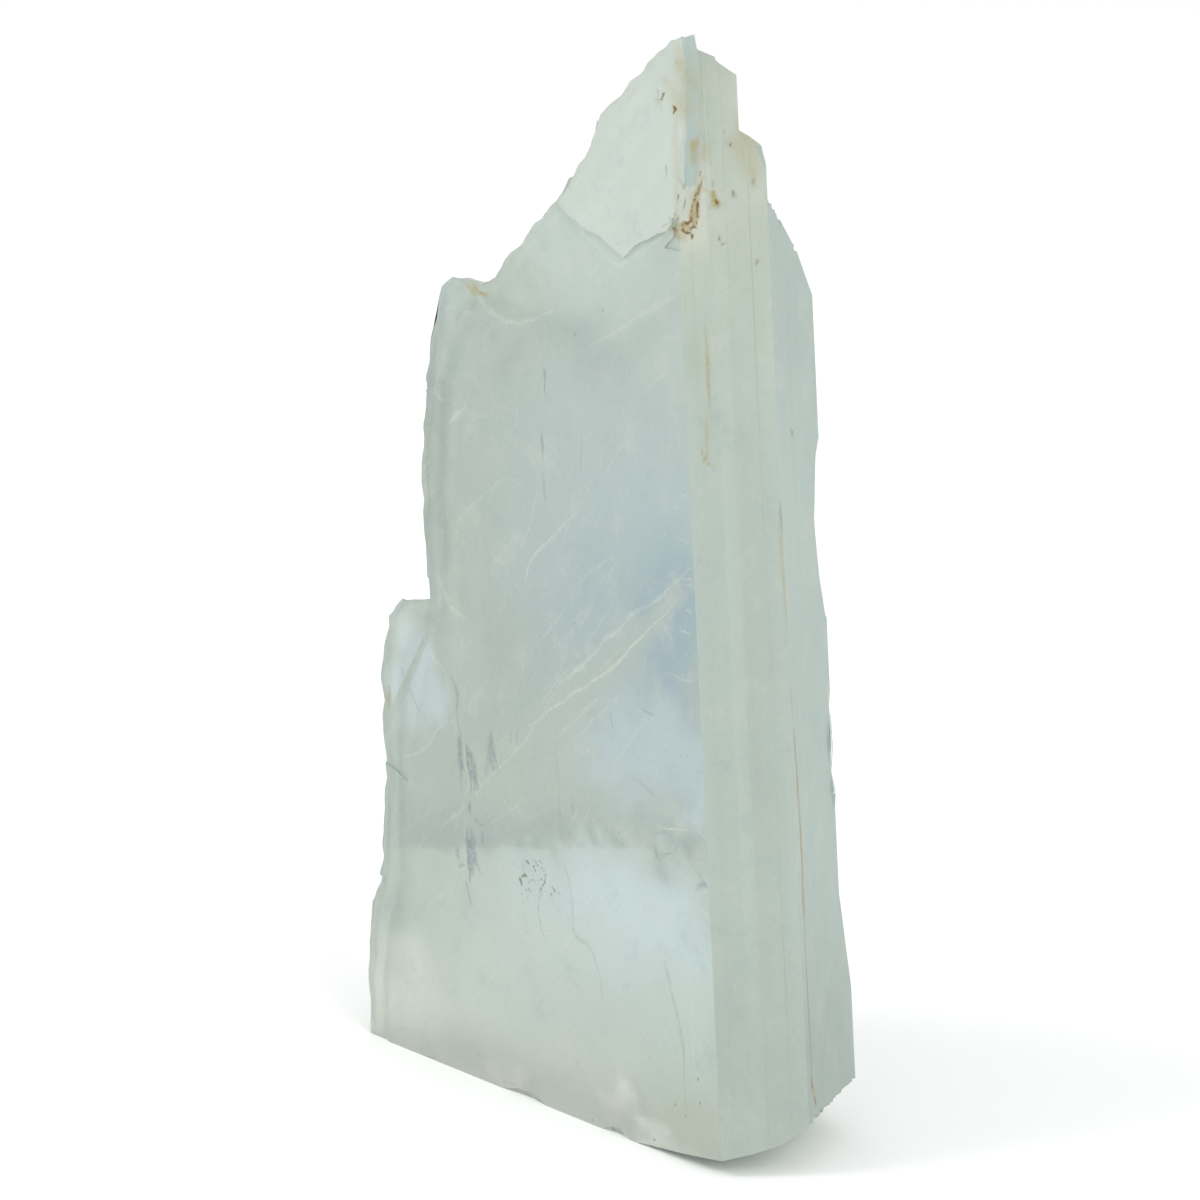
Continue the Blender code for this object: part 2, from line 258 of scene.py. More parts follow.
# Broad face
# The front cleavage face, flat and smooth. In it lie pale veils, which are healed partings and painted
# highlights along the edges of thin plates, grey-blue open partings, hair cracks and small dark grains. Each
# is a route (across, height) with its half width and strength, and the face is divided along it so that it
# keeps its place.
VEILS_AND_GLINTS = [
    ([(-72.0, 145.2), (-67.7, 142.6), (-63.7, 141.8), (-59.1, 142.0), (-55.3, 143.2),
      (-50.5, 145.5)], 0.8, 0.75),
    ([(-40.0, 141.0), (-33.0, 144.6), (-25.9, 148.9), (-21.9, 151.1), (-13.9, 155.4)], 0.5, 0.55),
    ([(-25.9, 148.9), (-21.9, 151.1), (-15.4, 154.6)], 0.8, 0.6),
    ([(-40.6, 161.2), (-35.5, 158.9), (-31.2, 157.2), (-24.3, 161.0), (-17.0, 165.4)], 0.6, 0.6),
    ([(-78.6, 120.4), (-76.8, 122.0), (-75.0, 123.4)], 0.8, 0.9),
    ([(-82.8, 128.9), (-83.3, 125.5), (-81.6, 123.8), (-78.3, 124.5)], 0.5, 0.45),
    ([(-58.8, 101.0), (-55.8, 106.8), (-53.7, 112.6)], 0.4, 0.4),
    ([(-57.4, 94.6), (-55.5, 99.7), (-48.0, 106.7), (-43.4, 110.5)], 0.5, 0.7),
    ([(-83.0, 91.5), (-81.2, 88.6), (-78.4, 86.0), (-73.9, 85.1)], 0.8, 0.6),
    ([(-93.2, 55.2), (-86.3, 58.8), (-83.6, 62.4), (-79.4, 65.2)], 0.45, 0.6),
    ([(-87.0, 80.1), (-84.9, 76.2), (-80.8, 73.4), (-79.9, 68.8)], 0.6, 0.45),
    ([(-85.8, 17.6), (-83.4, 14.7), (-83.4, 11.7), (-87.6, 7.5), (-91.0, 4.4), (-96.0, 2.6)], 0.8, 0.45),
    ([(-75.2, 60.2), (-74.6, 56.6), (-74.3, 53.9)], 0.3, 0.5),
    ([(-71.6, 53.9), (-68.7, 56.5), (-65.5, 59.2), (-57.0, 67.0), (-47.5, 79.0)], 0.35, 0.6),
    ([(-75.3, 47.8), (-75.1, 40.4)], 0.3, 0.4),
    ([(-67.7, 48.6), (-62.8, 51.9), (-59.4, 53.6)], 0.4, 0.4),
    ([(-82.5, 44.8), (-77.5, 48.2), (-75.0, 50.7)], 0.7, 0.5),
    ([(-47.5, 79.0), (-42.0, 83.1), (-37.6, 86.7), (-33.8, 90.3), (-32.0, 91.3), (-26.9, 96.0),
      (-22.6, 98.4), (-19.8, 100.2), (-11.3, 107.3)], 0.6, 0.65),
    ([(-43.1, 82.6), (-41.3, 83.5)], 0.6, 0.9),
    ([(-34.1, 90.2), (-31.6, 91.3)], 0.5, 0.8),
    ([(-56.0, 69.4), (-49.7, 74.0), (-42.0, 79.1), (-36.5, 82.4), (-31.1, 86.2), (-29.5, 87.7),
      (-25.8, 91.3), (-22.3, 94.1), (-14.0, 101.5)], 0.5, 0.85),
    ([(-31.1, 86.4), (-28.5, 88.7)], 0.6, 0.8),
    ([(-34.9, 84.9), (-30.1, 89.1)], 0.25, 0.4),
    ([(-48.6, 68.9), (-41.4, 74.7), (-34.9, 80.3)], 0.6, 0.45),
    ([(-44.2, 69.2), (-38.2, 74.1), (-30.9, 80.3)], 0.4, 0.4),
    ([(-19.3, 59.4), (-15.0, 60.0), (-9.7, 61.0)], 0.3, 0.85),
    ([(-8.0, 61.1), (-6.4, 60.2)], 0.35, 0.6),
    ([(-13.0, 96.0), (-11.1, 96.0)], 0.3, 0.8),
    ([(-12.2, 98.4), (-11.4, 97.4)], 0.3, 0.6),
    ([(-15.6, 87.7), (-11.9, 87.3), (-9.7, 87.5)], 0.35, 0.55),
    ([(-23.4, 89.5), (-23.0, 85.8)], 0.4, 0.3),
    ([(-16.1, 57.9), (-15.5, 56.8), (-15.8, 56.0)], 0.35, 0.5),
    ([(-31.3, 104.8), (-31.0, 100.8)], 0.25, 0.4),
    ([(-99.2, 34.0), (-99.0, 22.0), (-99.6, 6.0)], 0.6, 0.4),
    ([(-60.0, 3.0), (-52.0, 1.6), (-44.0, 2.6)], 1.2, 0.5),
    ([(-36.0, 7.4), (-31.0, 7.6), (-27.0, 4.6), (-22.0, 4.8)], 1.8, 0.6),
    ([(-10.5, 34.0), (-9.6, 26.0), (-9.4, 17.0)], 0.6, 0.4),
]
PARTINGS = [
    ([(-77.1, 62.6), (-76.9, 59.8), (-76.3, 55.6), (-76.0, 52.9)], 0.53, 0.77),
    ([(-76.3, 62.7), (-76.1, 59.1), (-75.5, 56.7)], 0.52, 1),
    ([(-74.9, 62.1), (-74.3, 59.2), (-73.6, 56.3), (-73.3, 53.7)], 0.52, 0.94),
    ([(-74.5, 61.6), (-72.8, 58.9), (-71.8, 56.0), (-71.3, 54.5)], 0.78, 0.88),
    ([(-73.3, 60.6), (-72.6, 56.8), (-72.3, 54.4)], 1.4, 0.68),
    ([(-76.6, 62.4), (-76.1, 57.5)], 1.2, 0.68),
    ([(-67.2, 65.2), (-66.7, 62.1), (-65.7, 60.5), (-65.4, 59.2)], 0.65, 0.83),
    ([(-68.4, 61.7), (-69.1, 57.3)], 0.98, 0.44),
    ([(-67.6, 64.4), (-66.8, 59.3)], 1.7, 0.6),
    ([(-61.6, 67.0), (-61.5, 65.0)], 0.36, 0.44),
    ([(-60.0, 67.0), (-60.1, 65.9)], 0.35, 0.44),
    ([(-79.1, 73.5), (-77.5, 71.4), (-77.2, 69.0)], 0.65, 0.55),
    ([(-76.8, 70.9), (-77.6, 67.7), (-77.2, 65.1)], 0.59, 0.61),
    ([(-73.9, 50.3), (-73.8, 49.7)], 0.53, 0.88),
    ([(-71.1, 48.1), (-69.9, 47.8)], 0.51, 0.61),
    ([(-74.6, 45.8), (-74.4, 42.2), (-73.7, 37.5)], 0.98, 1),
    ([(-72.4, 44.8), (-72.2, 41.1), (-70.9, 39.5)], 1, 0.72),
    ([(-73.4, 45.8), (-73.1, 38.1)], 2, 0.75),
    ([(-69.9, 46.3), (-69.9, 44.4)], 0.49, 0.55),
    ([(-77.4, 41.4), (-77.3, 40.5)], 1, 0.66),
    ([(-77.1, 38.7), (-76.1, 39.3)], 0.52, 0.77),
    ([(-77.0, 37.2), (-76.5, 36.8)], 0.49, 0.44),
    ([(-74.9, 36.1), (-74.2, 33.8), (-73.7, 32.5)], 0.72, 0.55),
    ([(-51.8, 135.4), (-51.4, 130.8)], 0.39, 0.88),
    ([(-52.5, 123.2), (-52.1, 118.7)], 0.44, 0.94),
    ([(-52.0, 115.4), (-51.4, 110.5)], 0.39, 0.88),
    ([(-41.3, 125.4), (-41.2, 117.2)], 0.33, 0.39),
    ([(-94.6, 71.4), (-92.2, 68.6), (-90.2, 65.8)], 0.91, 0.39),
    ([(-25.5, 81.4), (-24.9, 79.8)], 0.33, 0.39),
    ([(-24.1, 79.6), (-20.2, 79.3)], 0.39, 0.61),
    ([(-32.8, 76.1), (-32.5, 74.4)], 0.34, 0.44),
    ([(-27.3, 66.7), (-22.5, 65.5), (-19.0, 64.1)], 0.65, 0.39),
    ([(-20.4, 55.6), (-19.9, 54.0), (-17.7, 54.7), (-15.8, 55.7)], 0.78, 0.66),
    ([(-19.8, 58.0), (-17.8, 58.9)], 0.52, 0.33),
    ([(-11.8, 58.0), (-10.7, 56.9)], 1.8, 0.45),
    ([(-18.7, 51.9), (-17.6, 50.6)], 2.8, 0.38),
    ([(-7.8, 51.2), (-6.2, 51.8)], 1.2, 0.77),
    ([(-7.8, 53.4), (-7.3, 52.5)], 1, 0.44),
    ([(-43.9, 58.5), (-43.7, 55.8)], 0.48, 0.39),
]
CRACKS = [
    ([(-48.8, 71.9), (-48.4, 66.3), (-47.8, 60.3), (-47.4, 54.3), (-46.5, 48.7)], 0.4, 0.3),
    ([(-46.0, 46.2), (-45.1, 44.2), (-44.3, 41.0), (-43.6, 36.9), (-43.1, 34.0), (-38.8, 32.6),
      (-36.1, 28.2), (-35.0, 24.0)], 0.6, 0.4),
    ([(-51.3, 43.3), (-51.8, 41.5), (-53.1, 40.1), (-53.7, 37.2), (-53.2, 34.6), (-51.8, 30.6)], 0.5, 0.45),
    ([(-17.6, 35.5), (-14.9, 28.2), (-12.7, 22.3), (-12.1, 17.3), (-11.6, 11.0)], 0.7, 0.45),
    ([(-11.4, 183.4), (-11.8, 176.0), (-14.0, 171.4), (-16.0, 166.0)], 0.3, 0.4),
]

# Dark grains, as place, size and strength: a branching cluster low on the face, then loose ones
CLUSTER = [
    ((-57.1, 44.2), 0.53, 1), ((-56.5, 44.0), 0.36, 1), ((-55.1, 45.0), 0.29, 0.8),
    ((-54.4, 44.7), 0.40, 1), ((-53.3, 45.1), 0.36, 0.9), ((-52.7, 44.9), 0.29, 0.8),
    ((-53.9, 44.2), 0.36, 1), ((-55.0, 43.7), 0.46, 1), ((-54.6, 43.1), 0.40, 1),
    ((-53.2, 43.7), 0.29, 0.8), ((-52.6, 44.1), 0.36, 0.9), ((-52.1, 43.6), 0.36, 0.9),
    ((-51.7, 42.9), 0.40, 0.9), ((-51.8, 42.1), 0.36, 0.8), ((-51.9, 41.5), 0.40, 0.8),
    ((-52.3, 40.9), 0.36, 0.7), ((-53.0, 40.1), 0.46, 0.8), ((-52.8, 41.9), 0.40, 1),
    ((-53.7, 41.5), 0.29, 0.7), ((-55.3, 41.2), 0.36, 0.8), ((-54.7, 41.1), 0.29, 0.7),
    ((-55.1, 42.1), 0.23, 0.7), ((-58.9, 40.3), 0.53, 1), ((-59.2, 40.6), 0.36, 0.8),
    ((-58.4, 41.1), 0.46, 0.9), ((-57.7, 41.5), 0.53, 1), ((-57.1, 41.5), 0.36, 0.8),
    ((-58.7, 39.8), 0.40, 0.9), ((-58.5, 39.5), 0.36, 0.8), ((-58.0, 41.6), 0.29, 0.7),
    ((-56.6, 40.4), 0.29, 0.7), ((-56.1, 40.9), 0.29, 0.6), ((-57.3, 38.9), 0.36, 0.8),
    ((-56.5, 39.2), 0.36, 0.8), ((-56.0, 38.9), 0.36, 0.8), ((-58.5, 37.8), 0.29, 0.5),
    ((-56.8, 37.6), 0.29, 0.6), ((-50.3, 41.2), 0.29, 0.7), ((-49.6, 41.2), 0.36, 0.8),
    ((-49.1, 40.8), 0.40, 0.8), ((-48.5, 41.2), 0.29, 0.6), ((-47.8, 40.5), 0.36, 0.7),
    ((-49.9, 39.8), 0.40, 0.8), ((-48.9, 40.5), 0.29, 0.6),
]
LOOSE_GRAINS = [
    ((-8.2, 16.2), 0.5, 0.9), ((-14.6, 9.9), 0.6, 0.5), ((-38.1, 0.9), 0.5, 0.5), ((-20.4, 1.9), 0.45, 0.8),
    ((-43.0, 143.0), 0.6, 0.5), ((-35.2, 148.6), 0.5, 0.5), ((-46.4, 141.0), 0.3, 0.4),
    ((-30.6, 55.7), 0.4, 0.5), ((-29.5, 54.0), 0.4, 0.4), ((-40.6, 67.1), 0.3, 0.6),
    ((-43.0, 91.0), 0.3, 0.8), ((-3.8, 39.4), 0.3, 0.9), ((-7.6, 12.0), 0.5, 0.6), ((-11.6, 8.6), 0.5, 0.5),
]


def scattered_grains(rng):
    """Fine grains that trail below the cluster, and single ones all over the face."""
    grains = []
    for count in range(34):
        place = (rng.uniform(-58.5, -49.0), rng.uniform(30.0, 39.5))
        grains.append((place, rng.uniform(0.12, 0.24), rng.uniform(0.3, 0.7)))
    for count in range(60):
        place = (rng.uniform(-86.0, -10.0), rng.uniform(12.0, 150.0))
        grains.append((place, rng.uniform(0.12, 0.26), rng.uniform(0.2, 0.7)))
    return grains


def smooth_route(points, step, bend):
    """Points about one step apart on a smooth curve through the given points, bent a little by chance."""
    points = [Vector(point) for point in points]
    padded = [points[0] * 2 - points[1]] + points + [points[-1] * 2 - points[-2]]
    route = []
    for before, start, end, after in zip(padded, padded[1:], padded[2:], padded[3:]):
        pieces = max(1, round((end - start).length / step))
        for piece in range(pieces):
            t = piece / pieces
            second = 2 * before - 5 * start + 4 * end - after
            third = 3 * start - before - 3 * end + after
            route.append(0.5 * (2 * start + (end - before) * t + second * t ** 2 + third * t ** 3))
    route.append(points[-1])
    for point in route:
        place = Vector((point[0], 3.0, point[-1]))
        point[0] += bend * grain(place, 2.6)
        point[-1] += bend * grain(place, 2.6, 60.0)
    return route


def random_veils(rng):
    """Short faint veils that run up to the right, nicks beside the main edge, and curves on the left."""
    veils = []
    for count in range(80):
        place = Vector((rng.uniform(-92.0, -10.0), rng.uniform(8.0, 172.0)))
        turn = math.radians(rng.gauss(46.0, 11.0))
        reach = rng.uniform(2.0, 8.0)
        bow = rng.uniform(-0.12, 0.12) * reach
        run = Vector((math.cos(turn), math.sin(turn)))
        side = Vector((-run.y, run.x))
        route = [place - run * reach, place + side * bow, place + run * reach]
        veils.append((route, rng.uniform(0.25, 0.7), rng.uniform(0.12, 0.4)))
    for count in range(16):
        level = rng.uniform(30.0, 150.0)
        edge = main_edge.x - LEAN * level - rng.uniform(0.6, 2.4)
        route = [Vector((edge - rng.uniform(0.6, 1.6), level + rng.uniform(-0.4, 0.4))),
                 Vector((edge, level)),
                 Vector((edge + 0.5, level + rng.uniform(-0.3, 0.3)))]
        veils.append((route, rng.uniform(0.2, 0.4), rng.uniform(0.4, 0.9)))
    for count in range(26):
        middle = Vector((rng.uniform(-90.0, -60.0), rng.uniform(60.0, 140.0)))
        reach, turn, spread = rng.uniform(2.5, 7.0), rng.uniform(0.0, 6.3), rng.uniform(0.5, 1.1)
        turns = [turn + spread * share for share in (-1.0, -0.5, 0.0, 0.5, 1.0)]
        route = [middle + Vector((math.cos(turn), math.sin(turn))) * reach for turn in turns]
        veils.append((route, rng.uniform(0.3, 0.6), rng.uniform(0.15, 0.35)))
    return veils


def laid_out(marks, step=0.9, bend=0.35):
    """Each mark as its smooth route, the half width at each of its points, and its strength."""
    ready = []
    for points, half_width, strength in marks:
        route = smooth_route(points, step, bend)
        widths = []
        for number, point in enumerate(route):
            taper = 0.35 + 0.65 * math.sin(math.pi * min(1.0, 0.06 + number / (len(route) - 1)))
            taper = max(taper, 1.0 if len(route) < 4 else 0.0)
            swell = 1.0 + 0.8 * grain(Vector((point[0], 5.0, point[-1])), 2.0)
            widths.append(half_width * taper * swell)
        ready.append((route, widths, strength))
    return ready


def distance_to(points, starts, ends):
    """Distance of each point from each of the straight pieces, and how far along the piece it is."""
    run = ends - starts
    length = np.maximum((run ** 2).sum(axis=1), 1e-12)
    share = np.clip(((points[:, None] - starts) * run).sum(axis=2) / length, 0.0, 1.0)
    return np.linalg.norm(points[:, None] - (starts + share[..., None] * run), axis=2), share


def inside(points, loop):
    """Which of the points lie in a closed loop, by counting the sides that a ray to the right crosses."""
    x, z = points[:, 0:1], points[:, 1:2]
    start, end = loop, np.roll(loop, -1, axis=0)
    between = (start[:, 1] > z) != (end[:, 1] > z)
    rise = np.where(start[:, 1] == end[:, 1], 1.0, end[:, 1] - start[:, 1])
    crossing = start[:, 0] + (z - start[:, 1]) / rise * (end[:, 0] - start[:, 0])
    return (between & (x < crossing)).sum(axis=1) % 2 == 1


def rim_of(face):
    """The corners of a face as (across, height)."""
    return np.array([(place.x, place.z) for place in (in_crystal(vert.co) for vert in face.verts)])


def side_of(first, second, points):
    """On which side of each line from first to second each point lies."""
    run = (second - first)[:, None]
    away = points[None] - first[:, None]
    return run[..., 0] * away[..., 1] - run[..., 1] * away[..., 0] > 0


def untangle_rim(face):
    """Where two sides of a flat face cross, draw their corners in, each toward a corner next to it."""
    count = len(face.verts)
    number = np.arange(count)
    gap = np.abs(number[:, None] - number[None])
    for attempt in range(40):
        start = rim_of(face)
        end = np.roll(start, -1, axis=0)
        apart = side_of(start, end, start) != side_of(start, end, end)
        crossed = apart & apart.T & (gap > 1) & (gap < count - 1)
        if not crossed.any():
            return
        for side in np.flatnonzero(crossed.any(axis=1)):
            for corner in (side, (side + 1) % count):
                here = face.verts[corner].co
                beside = (face.verts[corner - 1].co, face.verts[(corner + 1) % count].co)
                nearer, further = sorted(beside, key=lambda place: (place - here).length)
                goal = nearer if (nearer - here).length > 0.15 * MM else further
                share = min(0.4, 0.5 * MM / (goal - here).length)
                here.x += share * (goal.x - here.x)
                if in_crystal(here).z > 0.01:
                    here.z += share * (goal.z - here.z)


def rows_along(marks):
    """Three rows of points for each mark: its middle line and both of its edges."""
    rows = []
    for route, widths, strength in marks:
        neighbours = zip([route[0]] + route, route[1:] + [route[-1]])
        runs = [(after - before).normalized() for before, after in neighbours]
        for side in (-1.0, 0.0, 1.0):
            rows.append([(point.x - run.y * width * side, point.y + run.x * width * side)
                         for point, run, width in zip(route, runs, widths)])
    return rows


CLEAR_OF_RIM = 0.12


def divide_flat_face(shape, face, rows, spacing):
    """Divide a flat face into triangles that follow the rows of the marks, with a grid between them."""
    untangle_rim(face)
    loop = rim_of(face)
    depth = face.verts[0].co.y
    low_x, low_z = loop.min(axis=0)
    high_x, high_z = loop.max(axis=0)
    rise = spacing * 0.87
    grid = [(low_x + spacing * (column + 0.5 * (row % 2)), low_z + rise * row)
            for row in range(int((high_z - low_z) / rise) + 1)
            for column in range(int((high_x - low_x) / spacing) + 1)]
    in_row = [number for number, row in enumerate(rows) for point in row]
    points = np.array(grid + [point for row in rows for point in row], dtype=float)
    kept = np.flatnonzero(inside(points, loop))
    gaps = distance_to(points[kept], loop, np.roll(loop, -1, axis=0))[0].min(axis=1)
    kept = kept[gaps > np.where(kept < len(grid), 0.45 * spacing, CLEAR_OF_RIM)]
    corner_of = {number: len(loop) + index for index, number in enumerate(kept)}
    corners = [Vector(point) for point in loop] + [Vector(points[number]) for number in kept]
    sides = []
    for number in kept:
        row, next_row = number - len(grid), number + 1 - len(grid)
        if row >= 0 and number + 1 in corner_of and in_row[row] == in_row[next_row]:
            sides.append((corner_of[number], corner_of[number + 1]))
    made = geometry.delaunay_2d_cdt(corners, sides, [list(range(len(loop)))], 1, 0.0005)
    rim = list(face.verts)
    verts = []
    for corner, sources in zip(made[0], made[3]):
        on_rim = [number for number in sources if number < len(rim)]
        if on_rim:
            verts.append(rim[on_rim[0]])
        else:
            place = foot + Vector((corner.x, 0.0, corner.y)) * MM
            verts.append(shape.verts.new((place.x, depth, place.z)))
    toward = face.normal.copy()
    shape.faces.remove(face)
    for triangle in made[2]:
        corners = [verts[number] for number in triangle]
        if (corners[1].co - corners[0].co).cross(corners[2].co - corners[0].co).dot(toward) < 0:
            corners.reverse()
        shape.faces.new(corners)


# Rust and dirt
# Iron stain has crept into the broken upper right corner, where the top plate, the plate ends and the main
# prism face meet. A brown line runs down beside the ridge. Dark rust, soft yellow stain and grey dirt are
# given as routes through the crystal, with half width and strength.
RUST = [
    ([(-11.9, 0.5, 183.6), (-11.9, 0.5, 183.4)], 0.24, 1.0),
    ([(-11.9, 0.7, 182.5), (-12.0, 0.9, 181.6), (-12.0, 1.0, 180.9)], 0.28, 1.0),
    ([(-12.1, 1.0, 179.7), (-12.2, 0.9, 178.9)], 0.24, 0.92),
    ([(-12.2, 0.9, 178.4), (-12.3, 0.7, 177.4)], 0.18, 0.57),
    ([(-12.1, 4.8, 177.9), (-11.9, 5.0, 178.0), (-11.7, 5.3, 177.4), (-11.4, 5.6, 176.9),
      (-11.4, 5.5, 176.2)], 0.22, 1.0),
    ([(-11.4, 5.5, 175.9), (-11.5, 5.2, 174.5), (-11.4, 5.2, 172.8)], 0.15, 0.86),
    ([(-11.3, 5.3, 172.8), (-11.1, 5.5, 171.8), (-10.8, 5.7, 171.0), (-10.5, 6.0, 170.2)], 0.37, 0.98),
    ([(-11.4, 4.9, 170.6), (-11.5, 4.5, 170.0), (-11.8, 4.2, 169.8), (-12.1, 3.7, 170.0)], 0.24, 0.8),
    ([(-12.7, 3.6, 176.4), (-12.8, 3.4, 175.6)], 0.28, 0.86),
    ([(-12.4, 3.9, 175.6), (-12.5, 3.6, 174.5), (-12.8, 3.2, 173.3), (-13.1, 2.7, 172.0),
      (-13.3, 2.4, 170.8), (-13.4, 2.1, 169.7), (-13.5, 1.8, 168.4)], 0.22, 0.8),
    ([(-12.5, 3.3, 171.7), (-12.7, 3.1, 171.4), (-12.8, 2.9, 170.6), (-12.8, 2.8, 169.7),
      (-12.7, 2.9, 168.7), (-12.7, 2.7, 167.7), (-12.7, 2.6, 166.8)], 0.26, 1.0),
    ([(-14.5, 0.7, 166.9), (-14.0, 1.0, 167.6), (-13.6, 1.5, 167.4), (-13.3, 2.0, 167.8),
      (-13.3, 2.1, 168.5)], 0.41, 1.0),
    ([(-15.7, 0.5, 167.0), (-15.1, 0.7, 166.5), (-15.4, 0.7, 165.8)], 0.24, 0.86),
    ([(-14.1, 0.8, 166.9), (-14.1, 0.7, 166.4), (-13.7, 1.2, 166.0), (-13.3, 1.7, 165.9),
      (-13.2, 1.9, 166.3)], 0.26, 1.0),
    ([(-13.3, 1.9, 166.6), (-12.9, 2.4, 166.9), (-12.7, 2.7, 166.7)], 0.24, 0.92),
    ([(-13.1, 2.0, 165.6), (-13.1, 2.0, 165.2)], 0.24, 1.0),
    ([(-14.6, -0.6, 169.5), (-14.9, -0.5, 168.6), (-15.5, -0.6, 167.9), (-15.9, 0.0, 167.3)], 0.15, 0.69),
    ([(-10.7, 7.0, 183.3), (-10.7, 6.9, 182.6)], 0.19, 0.86),
    ([(-9.9, 7.8, 181.3), (-9.9, 7.8, 181.0)], 0.26, 0.92),
    ([(-10.3, 5.8, 165.3), (-10.3, 5.7, 164.6)], 0.22, 0.69),
    ([(-9.9, 6.1, 164.0), (-9.9, 6.1, 163.8)], 0.22, 0.69),
    ([(-9.5, 6.4, 162.1), (-9.5, 6.4, 161.9)], 0.19, 0.69),
    ([(-17.7, -0.5, 189.4), (-18.0, -0.6, 188.9), (-18.3, -0.6, 188.3)], 0.46, 1.0),
    ([(-15.0, -0.6, 187.6), (-14.2, -0.5, 187.5)], 0.28, 1.0),
    ([(-14.6, -0.5, 187.2), (-15.0, -0.6, 186.7)], 0.24, 0.98),
    ([(-12.1, 0.9, 195.3), (-12.1, 0.6, 195.0)], 0.19, 0.92),
    ([(-13.5, 0.0, 152.5), (-13.5, 0.0, 152.2)], 0.26, 0.92),
    ([(-6.1, 10.6, 161.0), (-6.1, 10.6, 160.6)], 0.19, 0.69),
    ([(5.4, 14.4, 16.4), (5.4, 14.4, 15.2)], 0.37, 0.92),
    ([(4.8, 15.6, 12.8), (4.6, 15.8, 12.0)], 0.49, 1.0),
    ([(-16.0, -0.1, 166.6), (-15.4, 0.3, 166.0), (-14.9, 0.5, 165.6), (-14.3, 0.6, 165.5)], 0.28, 0.9),
    ([(-15.6, 0.4, 165.2), (-14.8, 0.5, 164.9)], 0.24, 0.6),
]
STAINS = [
    ([(-11.8, 1.0, 182.0), (-11.8, 1.1, 180.9)], 0.81, 1.0),
    ([(-11.7, 1.9, 182.3), (-12.1, 1.5, 178.5), (-13.3, 2.9, 177.1)], 1.22, 0.57),
    ([(-12.4, 4.3, 180.4), (-12.4, 4.3, 179.0)], 1.49, 0.4),
    ([(-11.3, 5.0, 172.6), (-10.9, 5.5, 171.0)], 1.22, 1.0),
    ([(-12.4, 3.9, 175.6), (-12.8, 3.2, 173.3), (-13.2, 2.5, 171.2), (-13.5, 1.8, 168.4)], 0.74, 0.92),
    ([(-13.0, 2.5, 171.4), (-13.1, 2.4, 169.4), (-13.0, 2.3, 167.0)], 1.22, 0.92),
    ([(-12.5, 3.6, 174.7), (-12.5, 3.5, 173.9), (-12.2, 3.9, 173.2), (-11.6, 4.8, 173.0)], 0.3, 0.57),
    ([(-15.2, 0.6, 166.6), (-14.0, 0.9, 166.8), (-13.2, 1.9, 166.4)], 1.22, 1.0),
    ([(-10.2, 7.4, 181.4), (-9.8, 7.9, 180.8)], 1.08, 0.46),
    ([(-9.4, 9.4, 184.2), (-8.4, 9.8, 181.0), (-6.8, 10.4, 174.0)], 2.97, 0.4),
    ([(-15.1, -0.6, 197.0), (-12.6, -0.5, 194.4), (-12.2, 1.9, 191.2)], 2.97, 0.46),
    ([(-13.2, -0.5, 189.6), (-13.0, 0.0, 187.8)], 2.16, 0.46),
    ([(-10.8, 3.3, 149.1), (-10.3, 3.3, 144.0), (-9.9, 3.2, 137.9), (-9.8, 2.8, 131.8),
      (-9.5, 2.7, 127.0)], 0.46, 0.86),
    ([(-10.4, 1.7, 129.2), (-10.0, 2.1, 127.0), (-9.3, 2.8, 125.9), (-8.5, 3.7, 125.3)], 0.27, 0.92),
    ([(-2.0, 12.2, 123.2), (-1.1, 12.2, 112.7), (-0.1, 12.4, 102.3), (0.8, 12.9, 88.1)], 0.5, 0.7),
    ([(0.8, 12.8, 88.1), (1.2, 13.9, 73.7), (1.9, 14.5, 59.4), (3.2, 14.2, 45.3), (4.3, 14.4, 31.0),
      (5.0, 14.5, 20.2)], 0.6, 1.0),
    ([(5.4, 14.4, 17.5), (4.8, 15.5, 12.0)], 1.22, 0.69),
    ([(-74.5, 0.6, 145.9), (-72.1, 0.6, 145.4), (-69.3, 0.0, 145.3)], 1.76, 0.92),
    ([(-98.2, 0.6, 67.4), (-98.6, 0.6, 61.8)], 1.08, 0.69),
    ([(-16.2, 0.3, 166.4), (-14.8, 0.5, 165.4), (-13.6, 0.8, 165.2)], 1.3, 0.7),
    ([(-17.6, -0.5, 192.0), (-15.0, -0.5, 190.0), (-14.0, -0.5, 186.0)], 2.4, 0.3),
    ([(-14.6, -0.5, 184.0), (-14.0, -0.5, 176.0), (-14.6, -0.5, 170.0)], 1.8, 0.25),
    ([(-12.4, 0.6, 162.0), (-10.6, 0.9, 142.0), (-9.2, 0.9, 124.0)], 1.6, 0.22),
]
